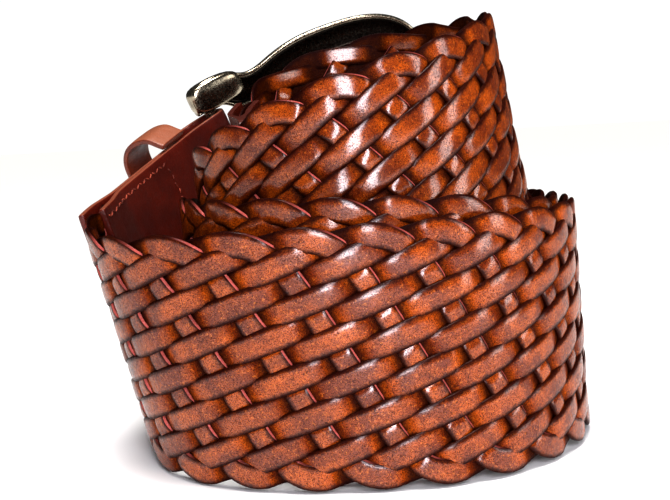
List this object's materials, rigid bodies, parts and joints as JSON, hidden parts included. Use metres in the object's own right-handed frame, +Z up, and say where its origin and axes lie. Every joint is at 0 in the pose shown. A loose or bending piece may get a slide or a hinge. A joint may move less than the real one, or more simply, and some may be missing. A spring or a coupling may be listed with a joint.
{
  "type": "braided leather belt",
  "caption": "Wide braided leather belt, rolled up and standing on its edge, with a smooth buckle tab, a keeper loop and a metal frame buckle that swings on its bar.",
  "frame": {"origin": "middle of the bounding box in plan, at the height of the surface the belt stands on", "axes": "+Z up, across the belt's width; -Y towards the front of the roll, where the outer wrap shows; +X towards the roll's right side seen from there; the buckle stands at the back left"},
  "size_m": [0.1335, 0.1476, 0.1198],
  "materials": {
    "braid_leather": "glossy, burnished edges",
    "tab_leather": "satin",
    "keeper_leather": "satin",
    "buckle_metal": "polished, darkened with age"
  },
  "bodies": {
    "belt": {"braided_band": "braid_leather", "buckle_tab": "tab_leather", "keeper_loop": "keeper_leather", "tip_tab": "tab_leather"},
    "buckle": {"buckle_frame": "buckle_metal", "buckle_prong": "buckle_metal"}
  },
  "joints": [
    {"name": "buckle_hinge", "type": "hinge", "parent": "belt", "child": "buckle", "pos_m": [-0.02674, 0.04624, 0.06182], "axis": [-0.3407, -0.2747, 0.8992], "range_deg": [-10, 120]}
  ]
}
